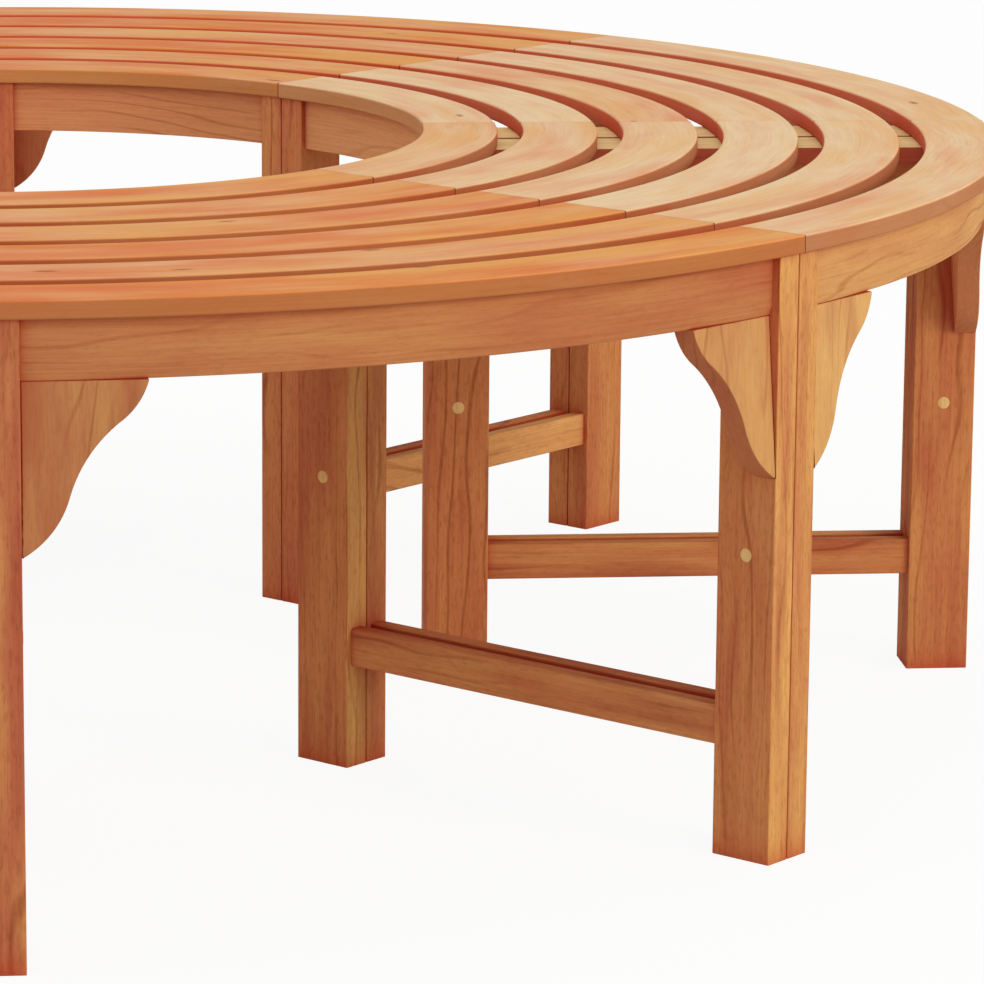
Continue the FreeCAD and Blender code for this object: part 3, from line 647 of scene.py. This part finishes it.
def with_bevel_weights(tree, boards, given):
    along = add(tree, "ShaderNodeSeparateXYZ", {0: add(tree, "GeometryNodeInputPosition")})

    # end is 1 at a point whose Z is 0 or 1, so only an edge within an end has a mean of 1
    end = add(tree, "FunctionNodeCompare",
              {0: along.outputs[2], 1: 0.5, "Epsilon": SHORT_OF_THE_END},
              data_type="FLOAT", operation="NOT_EQUAL")
    share = add(tree, "GeometryNodeFieldOnDomain", {0: end}, domain="EDGE", data_type="FLOAT")
    both = add(tree, "ShaderNodeMath", {0: share, 1: BOTH_POINTS}, operation="GREATER_THAN")
    weight = add(tree, "ShaderNodeMapRange", {0: both, 3: 1.0, 4: given["End Weight"]})
    bent = add(tree, "GeometryNodeInputMeshEdgeAngle")
    sharp = add(tree, "ShaderNodeMath", {0: bent, 1: SHARP}, operation="GREATER_THAN")
    weight = add(tree, "ShaderNodeMath", {0: weight, 1: sharp}, operation="MULTIPLY")
    return add(tree, "GeometryNodeStoreNamedAttribute",
               {"Geometry": boards, "Name": "bevel_weight_edge", "Value": weight},
               data_type="FLOAT", domain="EDGE")


# %% [markdown]
# The bend gives each point its angle around the ring and then its place on the circle. A
# board stops at a set distance from each seam, which is a slightly different angle at every
# radius: the arcsine of that distance over the radius.


# %% Bend them around the ring
def bent_around(tree, boards, given):
    place = add(tree, "ShaderNodeSeparateXYZ", {0: add(tree, "GeometryNodeInputPosition")})
    sine = add(tree, "ShaderNodeMath", {0: given["Seam Side"], 1: place.outputs[1]},
               operation="DIVIDE")
    lost = add(tree, "ShaderNodeMath", {0: sine}, operation="ARCSINE")
    swept = add(tree, "ShaderNodeMath", {0: lost, 1: -2.0, 2: SECTION_ANGLE},
                operation="MULTIPLY_ADD")
    part = add(tree, "ShaderNodeMath", {0: place.outputs[2], 1: swept, 2: lost},
               operation="MULTIPLY_ADD")
    section = add(tree, "GeometryNodeInputNamedAttribute", {"Name": "section"},
                  data_type="FLOAT")
    angle = add(tree, "ShaderNodeMath", {0: section, 1: SECTION_ANGLE, 2: part},
                operation="MULTIPLY_ADD")
    level = add(tree, "ShaderNodeCombineXYZ", {0: place.outputs[1], 2: place.outputs[0]})
    around = add(tree, "ShaderNodeVectorRotate", {"Vector": level, "Angle": angle},
                 rotation_type="Z_AXIS")
    return add(tree, "GeometryNodeSetPosition", {"Geometry": boards, "Position": around})


# %% [markdown]
# The three steps make one tree. Its inputs are all the sizes that a row of boards needs.


# %% The tree for curved boards
def curved_boards_tree():
    tree, given = tree_with_inputs("curved boards", [
        ("Profile", "Object"), ("Rows", "Int"), ("Pitch", "Float"), ("Sections", "Int"),
        ("Seam Side", "Float"), ("Steps", "Int"), ("End Weight", "Float"),
        ("Material", "Material")])
    boards = straight_boards(tree, given)
    boards = with_bevel_weights(tree, boards, given)
    return finished(tree, bent_around(tree, boards, given), given)


# %% [markdown]
# A Geometry Nodes modifier takes its inputs by each socket's identifier. Once the
# modifiers are evaluated, new_from_object gives the result as a plain mesh, and the
# finished piece needs no modifier at all.


# %% From a tree to a plain mesh
def made_by(tree, name, sizes, bevel=0.0, segments=3):
    """Run a geometry tree, round its weighted edges, and return a plain mesh object."""
    carrier = bpy.data.objects.new(name, bpy.data.meshes.new(name))
    bpy.context.collection.objects.link(carrier)
    modifier = carrier.modifiers.new("shape", "NODES")
    modifier.node_group = tree
    for item in tree.interface.items_tree:
        if item.in_out == "INPUT" and item.name in sizes:
            modifier[item.identifier] = sizes[item.name]
    if bevel:
        rounding = carrier.modifiers.new("rounding", "BEVEL")
        rounding.width = bevel
        rounding.segments = segments
        rounding.limit_method = "WEIGHT"
        rounding.harden_normals = True
        rounding.use_clamp_overlap = False
    evaluated = carrier.evaluated_get(bpy.context.evaluated_depsgraph_get())
    mesh = bpy.data.meshes.new_from_object(evaluated)
    bpy.data.objects.remove(carrier)
    mesh.name = name
    piece = bpy.data.objects.new(name, mesh)
    bpy.context.collection.objects.link(piece)
    print(name, len(mesh.polygons), "faces")
    return piece


# %% [markdown]
# Four small helpers serve every piece. One draws an outline for a board to be swept from,
# and one turns a bmesh into an object. One says what a piece rides on and which CAD nodes
# it stands for, and the last names a kind of CAD node in all sections.


# %% Helpers for every piece
def profile(name, corners):
    """A closed outline from radius and height pairs, drawn flat so that a tree can sweep
    it up along Z: X is the height and Y the radius."""
    mesh = bpy.data.meshes.new(name)
    count = len(corners)
    mesh.from_pydata([(height, radius, 0) for radius, height in reversed(corners)],
                     [(i, (i + 1) % count) for i in range(count)], [])
    return bpy.data.objects.new(name, mesh)


def piece_from(shape, name):
    """An object from a bmesh, with its faces turned outwards. Extruding leaves them in an
    order that changes from run to run, so each is made to start at the point with its
    lowest number, and then they are sorted."""
    bmesh.ops.recalc_face_normals(shape, faces=shape.faces)
    shape.verts.index_update()
    faces = []
    for face in shape.faces:
        ring = [point.index for point in face.verts]
        first = ring.index(min(ring))
        faces.append(ring[first:] + ring[:first])
    mesh = bpy.data.meshes.new(name)
    mesh.from_pydata([point.co for point in shape.verts], [], sorted(faces))
    shape.free()
    return bpy.data.objects.new(name, mesh)


def dressed(piece, slot_name, *nodes):
    """The piece rides on the bench and stands for its CAD nodes."""
    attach(piece, "root")
    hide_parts(*nodes)


def sections_of(kind):
    return [f"section_{n + 1}_{kind}" for n in range(SECTIONS)]


# %% [markdown]
# The seat: six rows of slats in each section, with rounded long edges. Their ends nearly
# touch, so the seam shows as a fine dark line and nothing more.

# %% Slats
BOARD_STEPS = 41
SLAT_END_WEIGHT = 0.15

curved_boards = curved_boards_tree()
slat_outline = profile("slat outline", [
    (HOLE_RADIUS, SLAT_LOW), (HOLE_RADIUS + SLAT_WIDTH, SLAT_LOW),
    (HOLE_RADIUS + SLAT_WIDTH, SEAT_HEIGHT), (HOLE_RADIUS, SEAT_HEIGHT)])
slats = made_by(curved_boards, "slats", {
    "Profile": slat_outline, "Rows": SLAT_COUNT, "Pitch": SLAT_PITCH, "Sections": SECTIONS,
    "Seam Side": SEAM_SIDE, "Steps": BOARD_STEPS, "End Weight": SLAT_END_WEIGHT,
    "Material": slat_wood}, bevel=SLAT_ROUNDING)
dressed(slats, "slat_wood", *sections_of("slats"))

# %% [markdown]
# The aprons hide the ends of the frames. The outer one has a broad bevel along its lower
# outer edge, which catches the light as a paler band all around the bench.

# %% Aprons
APRON_ROUNDING = 0.8 * MM
APRON_END_WEIGHT = 0.3

apron_corners = {
    "outer_aprons": [
        (APRON_OUT - APRON_THICK, APRON_LOW), (APRON_OUT - BEVEL_DEPTH, APRON_LOW),
        (APRON_OUT, APRON_LOW + BEVEL_RISE), (APRON_OUT, SLAT_LOW),
        (APRON_OUT - APRON_THICK, SLAT_LOW)],
    "inner_aprons": [
        (INNER_APRON_IN, APRON_LOW), (INNER_APRON_IN + APRON_THICK, APRON_LOW),
        (INNER_APRON_IN + APRON_THICK, SLAT_LOW), (INNER_APRON_IN, SLAT_LOW)]}
for name, corners in apron_corners.items():
    aprons = made_by(curved_boards, name, {
        "Profile": profile("outline of " + name, corners), "Rows": 1, "Pitch": 0.0,
        "Sections": SECTIONS, "Seam Side": LEG_SIDE, "Steps": BOARD_STEPS,
        "End Weight": APRON_END_WEIGHT, "Material": apron_wood}, bevel=APRON_ROUNDING)
    dressed(aprons, "frame_wood", *sections_of("aprons"))

# %% [markdown]
# A bracket is a flat board with a scrolled edge: a round shoulder, a long hollow and a
# full belly, each one an arc. Such an edge could be a spline, but a joiner draws it with a
# compass, and three radii are easier to read off a real one.

# %% The bracket's outline
BRACKET_WIDTH = 83 * MM
BRACKET_HEIGHT = 115 * MM
BRACKET_TRIM = 8 * MM
SHOULDER = Vector((66 * MM, -26 * MM))
WAIST = Vector((31 * MM, -76 * MM))
SHOULDER_RADIUS = 50 * MM
HOLLOW_RADIUS = 96 * MM
BELLY_RADIUS = 65 * MM
ARC_STEPS = 12


def bowed(start, end, radius, side):
    """Points along an arc that bulges to the right of the way from start to end, or with
    side -1 to its left. The last point is left out."""
    chord = end - start
    across = Vector((chord.y, -chord.x)).normalized() * side
    centre = (start + end) / 2 - across * math.sqrt(radius ** 2 - (chord.length / 2) ** 2)
    spoke = start - centre
    turn = spoke.angle_signed(end - centre)
    return [centre + Matrix.Rotation(-turn * i / ARC_STEPS, 2) @ spoke
            for i in range(ARC_STEPS)]


def bracket_outline():
    """The scrolled edge, drawn too large by the trim where it meets the leg and apron."""
    tip = Vector((BRACKET_WIDTH, 0))
    toe = Vector((0, -BRACKET_HEIGHT))
    outline = [Vector((-BRACKET_TRIM, BRACKET_TRIM)), Vector((BRACKET_WIDTH, BRACKET_TRIM))]
    outline += bowed(tip, SHOULDER, SHOULDER_RADIUS, -1)
    outline += bowed(SHOULDER, WAIST, HOLLOW_RADIUS, 1)
    return outline + bowed(WAIST, toe, BELLY_RADIUS, -1) + [
        toe, Vector((-BRACKET_TRIM, toe.y))]


# %% [markdown]
# The board leans a little, so that it sits back under the apron and comes flush with the
# leg at its toe. It is cut off along the leg's side and the apron's underside after it has
# been leaned, as a joiner would scribe it.

# %% The bracket's board
BRACKET_THICK = 18 * MM
BRACKET_SETBACK = 8.5 * MM
BRACKET_TILT = math.radians(4.2)
BRACKET_TURN = math.radians(2.3)
WELD = 0.01 * MM


def bracket_board():
    shape = bmesh.new()
    face = shape.faces.new([shape.verts.new((0, p.x, p.y)) for p in bracket_outline()])
    back = bmesh.ops.extrude_face_region(shape, geom=[face])
    moved = [v for v in back["geom"] if isinstance(v, bmesh.types.BMVert)]
    bmesh.ops.translate(shape, verts=moved, vec=(-BRACKET_THICK, 0, 0))
    lean = Matrix.Rotation(-BRACKET_TILT, 4, "Y")
    swing = Matrix.Rotation(BRACKET_TURN, 4, "Z")
    seat = Matrix.Translation((OUTER_LEG_OUT - BRACKET_SETBACK, LEG_SIDE, APRON_LOW))
    bmesh.ops.transform(shape, matrix=seat @ swing @ lean, verts=shape.verts)
    for point, normal in (((0, LEG_SIDE, 0), (0, -1, 0)), ((0, 0, APRON_LOW), (0, 0, 1))):
        cut = bmesh.ops.bisect_plane(
            shape, geom=shape.verts[:] + shape.edges[:] + shape.faces[:],
            plane_co=point, plane_no=normal, clear_outer=True)
        rim = [e for e in cut["geom_cut"] if isinstance(e, bmesh.types.BMEdge)]
        bmesh.ops.edgeloop_fill(shape, edges=rim)
    bmesh.ops.remove_doubles(shape, verts=shape.verts, dist=WELD)
    return shape


# %% [markdown]
# A second small tree repeats what stands at every seam: it joins the piece with its mirror
# image, because a seam has one on either side, and turns a copy to each of the seams.
# Mirroring turns a shape inside out, so the copy's faces are flipped back.


# %% The tree for pieces at every seam
def at_seams_tree():
    tree, given = tree_with_inputs("at every seam", [
        ("Piece", "Object"), ("Sections", "Int"), ("Bevel Angle", "Float"),
        ("Material", "Material")])
    piece = add(tree, "GeometryNodeObjectInfo", {0: given["Piece"]}).outputs["Geometry"]
    mirror = add(tree, "GeometryNodeTransform", {"Geometry": piece, "Scale": (1, -1, 1)})
    mirror = add(tree, "GeometryNodeFlipFaces", {0: mirror})
    pair = add(tree, "GeometryNodeJoinGeometry", {0: piece})
    tree.links.new(mirror.outputs[0], pair.inputs[0])
    points = add(tree, "GeometryNodeMeshLine",
                 {"Count": given["Sections"], "Offset": (0, 0, 0)})
    turn = add(tree, "ShaderNodeMath",
               {0: add(tree, "GeometryNodeInputIndex"), 1: SECTION_ANGLE},
               operation="MULTIPLY")
    copies = add(tree, "GeometryNodeInstanceOnPoints",
                 {"Points": points, "Instance": pair,
                  "Rotation": add(tree, "ShaderNodeCombineXYZ", {2: turn})})
    pieces = add(tree, "GeometryNodeRealizeInstances", {0: copies})
    sharp = add(tree, "ShaderNodeMath",
                {0: add(tree, "GeometryNodeInputMeshEdgeAngle"), 1: given["Bevel Angle"]},
                operation="GREATER_THAN")
    pieces = add(tree, "GeometryNodeStoreNamedAttribute",
                 {"Geometry": pieces, "Name": "bevel_weight_edge", "Value": sharp},
                 data_type="FLOAT", domain="EDGE")
    return finished(tree, pieces, given)


# %% [markdown]
# One bracket is drawn and the tree makes sixteen of it. Its edges are only just broken,
# and the bends within an arc, which are slighter than the bevel angle, stay as they are.

# %% Brackets
BRACKET_ROUNDING = 1.0 * MM
BRACKET_BEVEL_ANGLE = math.radians(40)

at_seams = at_seams_tree()
bracket = piece_from(bracket_board(), "bracket")
brackets = made_by(at_seams, "brackets", {
    "Piece": bracket, "Sections": SECTIONS, "Bevel Angle": BRACKET_BEVEL_ANGLE,
    "Material": bracket_wood}, bevel=BRACKET_ROUNDING, segments=2)
dressed(brackets, "bracket_wood", *sections_of("brackets"))

# %% [markdown]
# Plugs and screws are turned shapes, so one function spins an outline around an axis. A
# Screw modifier could do it too, but a screw's recess has to join the last loop of points.


# %% Turned shapes
def spin(shape, outline, sides, place):
    """Add an outline of radius and height pairs, spun around the Z of place, and return
    its last loop of points."""
    loops = []
    for radius, height in outline:
        angles = [2 * math.pi * i / sides for i in range(sides)]
        ring = [(radius * math.cos(a), radius * math.sin(a), height) for a in angles]
        loops.append([shape.verts.new(place @ Vector(point)) for point in ring])
    for low, high in zip(loops, loops[1:]):
        for i in range(sides):
            j = (i + 1) % sides
            shape.faces.new((low[i], low[j], high[j], high[i]))
    shape.faces.new(loops[0])
    return loops[-1]


# %% [markdown]
# Each bolt is hidden under a wooden plug, sanded almost flush. What is left is a very
# slight dome with a softened rim, drawn as shares of the plug's radius and the dome's
# height. It is made once for the outer leg and once for the inner one, and repeated at
# every seam. A bevel angle of half a turn bevels nothing.

# %% Plugs
PLUG_RADIUS = 5 * MM
PLUG_LENGTH = 6 * MM
DOME_HEIGHT = 0.35 * MM
PLUG_RIM = 0.1 * MM
PLUG_SIDES = 24
DOME = ((0.93, 0.45), (0.6, 0.85), (0.2, 1.0))
BOLT_RISE = (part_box("bolt_plugs")[0].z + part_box("bolt_plugs")[1].z) / 2
OUTER_MIDDLE = OUTER_LEG_OUT - LEG_DEPTH / 2
INNER_MIDDLE = INNER_LEG_IN + LEG_DEPTH / 2

plug_outline = [(PLUG_RADIUS, -PLUG_LENGTH), (PLUG_RADIUS, -PLUG_RIM)]
plug_outline += [(PLUG_RADIUS * out, DOME_HEIGHT * up) for out, up in DOME]
plug = bmesh.new()
for middle in (OUTER_MIDDLE, INNER_MIDDLE):
    outwards = Matrix.Translation((middle, LEG_SIDE, BOLT_RISE)) @ Matrix.Rotation(
        -math.pi / 2, 4, "X")
    plug.faces.new(spin(plug, plug_outline, PLUG_SIDES, outwards))
plugs = made_by(at_seams, "plugs", {
    "Piece": piece_from(plug, "plug"), "Sections": SECTIONS, "Bevel Angle": math.pi,
    "Material": plug_wood})
dressed(plugs, "plug_wood", "bolt_plugs")

# %% [markdown]
# Wood screws hold the bearers to the frames and the slats to the bearers. Their heads lie
# flush with the wood, and only those under the bearers are seen, from below. A head is a
# disc with a cross-shaped recess that tapers inwards. The shank is hidden and stays plain.

# %% One wood screw
SCREW_RADIUS = 2 * MM
SCREW_HEAD_RADIUS = 4 * MM
SCREW_HEAD_LENGTH = 2.6 * MM
SCREW_HEAD_EDGE = 0.15 * MM
SCREW_LENGTH = 21 * MM
SCREW_POINT_LENGTH = 5 * MM
SCREW_POINT_RADIUS = 0.3 * MM
SCREW_SIDES = 12
RECESS_REACH = 2.2 * MM
RECESS_HALF = 0.5 * MM
RECESS_DEPTH = 1.6 * MM
RECESS_TAPER = 0.5


def screw(shape, place):
    """A countersunk screw whose head looks along the Z of place, from its origin."""
    outline = [(SCREW_POINT_RADIUS, -SCREW_LENGTH),
               (SCREW_RADIUS, -SCREW_LENGTH + SCREW_POINT_LENGTH),
               (SCREW_RADIUS, -SCREW_HEAD_LENGTH), (SCREW_HEAD_RADIUS, -SCREW_HEAD_EDGE),
               (SCREW_HEAD_RADIUS, 0)]
    rim = spin(shape, outline, SCREW_SIDES, place)
    cross = []
    for quarter in range(4):
        turn = Matrix.Rotation(quarter * math.pi / 2, 4, "Z")
        for x, y in ((RECESS_REACH, -RECESS_HALF), (RECESS_REACH, RECESS_HALF),
                     (RECESS_HALF, RECESS_HALF)):
            cross.append(turn @ Vector((x, y, 0)))
    mouth = [shape.verts.new(place @ point) for point in cross]
    down = Vector((0, 0, -RECESS_DEPTH))
    floor = [shape.verts.new(place @ (point * RECESS_TAPER + down)) for point in cross]
    for i in range(SCREW_SIDES):
        j = (i + 1) % SCREW_SIDES
        shape.faces.new((rim[i - 1], rim[i], mouth[i], mouth[i - 1]))
        shape.faces.new((mouth[i], mouth[j], floor[j], floor[i]))
    shape.faces.new(floor)


# %% [markdown]
# On each side of a seam six screws go up through the bearer, one into each slat, and three
# go down into the top rail. The numbers are their distances from the ring's axis in
# millimetres, and each row has one distance from the seam.

# %% Wood screws
UP_FROM_BEARER = [390.6, 454.5, 533.5, 612.5, 691.5, 755.25]
DOWN_TO_FRAME = [454.5, 612.5, 691.5]
BEARER_ROW = 42 * MM
FRAME_ROW = 11.5 * MM

screws = bmesh.new()
bearer_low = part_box("section_1_bearers")[0].z
for x in UP_FROM_BEARER:
    under = Matrix.Translation((x * MM, BEARER_ROW, bearer_low)) @ Matrix.Rotation(
        math.pi, 4, "X")
    screw(screws, under)
for x in DOWN_TO_FRAME:
    screw(screws, Matrix.Translation((x * MM, FRAME_ROW, SLAT_LOW)))
wood_screws = made_by(at_seams, "countersunk_screws", {
    "Piece": piece_from(screws, "screws of one side"), "Sections": SECTIONS,
    "Bevel Angle": math.pi, "Material": steel})
wood_screws.data.set_sharp_from_angle(angle=SHARP)
dressed(wood_screws, "zinc_steel", "wood_screws")

# %% [markdown]
# The straight boards keep their CAD solids and only get their wood. The bolts and nuts
# inside the legs get steel.

# %% Dress the CAD nodes
CAD_FINISHES = {"outer_legs": leg_wood, "inner_legs": leg_wood, "rails": rail_wood,
                "bearers": bearer_wood, "aprons": apron_wood, "slats": slat_wood,
                "brackets": bracket_wood, "bolt_plugs": plug_wood, "joint_bolts": steel,
                "joint_nuts": steel, "wood_screws": steel}
for name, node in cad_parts.items():
    finish = next(m for kind, m in CAD_FINISHES.items() if name.endswith(kind))
    node.data.materials.clear()
    node.data.materials.append(finish)
print(len(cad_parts), "CAD nodes dressed")

# %% [markdown]
# The floor is plain and pale. The bench was photographed against white, so the camera,
# and anything glossy, sees the floor lifted most of the way to white, while the light
# that bounces off it still meets an ordinary pale surface. The bench keeps a faint shadow.


# %% Floor
FLOOR_REACH = 14.0
FLOOR_TINT = "#F0F0EE"
FLOOR_LIFT = 0.92


def seen_directly(tree):
    """1 for what the camera, a reflection or a view through glass shows, otherwise 0."""
    path = add(tree, "ShaderNodeLightPath").outputs
    shiny = add(tree, "ShaderNodeMath",
                {0: path["Is Glossy Ray"], 1: path["Is Transmission Ray"]},
                operation="MAXIMUM")
    return add(tree, "ShaderNodeMath", {0: shiny, 1: path["Is Camera Ray"]},
               operation="MAXIMUM")


def pale_floor():
    material, tree = new_material("matt pale studio floor")
    matt = add(tree, "ShaderNodeBsdfDiffuse", {"Color": linear(FLOOR_TINT)})
    white = add(tree, "ShaderNodeEmission", {"Color": (1, 1, 1, 1), "Strength": 1.0})
    lift = add(tree, "ShaderNodeMath", {0: seen_directly(tree), 1: FLOOR_LIFT},
               operation="MULTIPLY")
    both = add(tree, "ShaderNodeMixShader", {0: lift, 1: matt, 2: white})
    add(tree, "ShaderNodeOutputMaterial", {0: both})
    return material


floor_mesh = bpy.data.meshes.new("floor")
corners = [(x * FLOOR_REACH, y * FLOOR_REACH, 0) for x, y in
           ((-1, -1), (1, -1), (1, 1), (-1, 1))]
floor_mesh.from_pydata(corners, [], [(0, 1, 2, 3)])
floor_mesh.materials.append(pale_floor())
floor = bpy.data.objects.new("floor", floor_mesh)
bpy.context.collection.objects.link(floor)
print("floor", 2 * FLOOR_REACH, "m across")

# %% [markdown]
# The world is the studio's white walls and ceiling. They light the bench evenly from all
# around, at a level at which a colour renders about as it is written, and look plain white.

# %% World
AMBIENT = 0.88
world = bpy.data.worlds.new("white studio")
bpy.context.scene.world = world
world.use_nodes = True
world.node_tree.nodes.clear()
level = add(world.node_tree, "ShaderNodeMapRange",
            {0: seen_directly(world.node_tree), 3: AMBIENT, 4: 1.0})
sky = add(world.node_tree, "ShaderNodeBackground",
          {"Color": (1, 1, 1, 1), "Strength": level})
add(world.node_tree, "ShaderNodeOutputWorld", {0: sky})

# %% [markdown]
# The key light is a large softbox high in front of the bench and to the right, so the
# seat is brightest, the faces that look its way are warm, and those that look left fall
# into a soft shade. A weak one low on the left keeps that shade from going dead.


# %% Lights
def softbox(name, place, aim, size, power, colour):
    """A round area lamp at a place, turned to its aim. size is its diameter."""
    lamp = bpy.data.lights.new(name, "AREA")
    lamp.shape = "DISK"
    lamp.size = size
    lamp.energy = power
    lamp.color = linear(colour)[:3]
    light = bpy.data.objects.new(name, lamp)
    light.location = place
    light.rotation_euler = (Vector(aim) - Vector(place)).to_track_quat("-Z", "Y").to_euler()
    bpy.context.collection.objects.link(light)
    print(name, power, "watts")


softbox("key", place=(4.1, -3.5, 2.2), aim=(0.2, 0, 0.3), size=2.0, power=104,
        colour="#FFF3DE")
softbox("fill", place=(-3.6, -3.4, 1.6), aim=(0, 0, 0.25), size=2.6, power=15,
        colour="#FFF9F2")

# %% [markdown]
# The camera stands a little over a metre high and four metres away, with a long lens that
# sees only the right half of the bench. Its place was found by fitting the seams, leg
# ends and rims of the model to the same points in the photograph.

# %% Camera
CAMERA_PLACE = Vector((0.0149, -3.9367, 1.0041))
CAMERA_PAN = math.radians(5.66)
CAMERA_DOWN = math.radians(12.216)
CAMERA_ROLL = math.radians(0.5)
CAMERA_LENS = 182.35
SENSOR_WIDTH = 36.0

lens = bpy.data.cameras.new("camera")
lens.lens = CAMERA_LENS
lens.sensor_width = SENSOR_WIDTH
camera = bpy.data.objects.new("camera", lens)
panned = Matrix.Rotation(-CAMERA_PAN, 4, "Z")
tilted = Matrix.Rotation(math.pi / 2 - CAMERA_DOWN, 4, "X")
rolled = Matrix.Rotation(CAMERA_ROLL, 4, "Z")
camera.matrix_world = Matrix.Translation(CAMERA_PLACE) @ panned @ tilted @ rolled
bpy.context.collection.objects.link(camera)
bpy.context.scene.camera = camera
bpy.context.scene.view_settings.view_transform = "Standard"
print("camera", round(CAMERA_PLACE.length, 3), "m from the bench's middle")
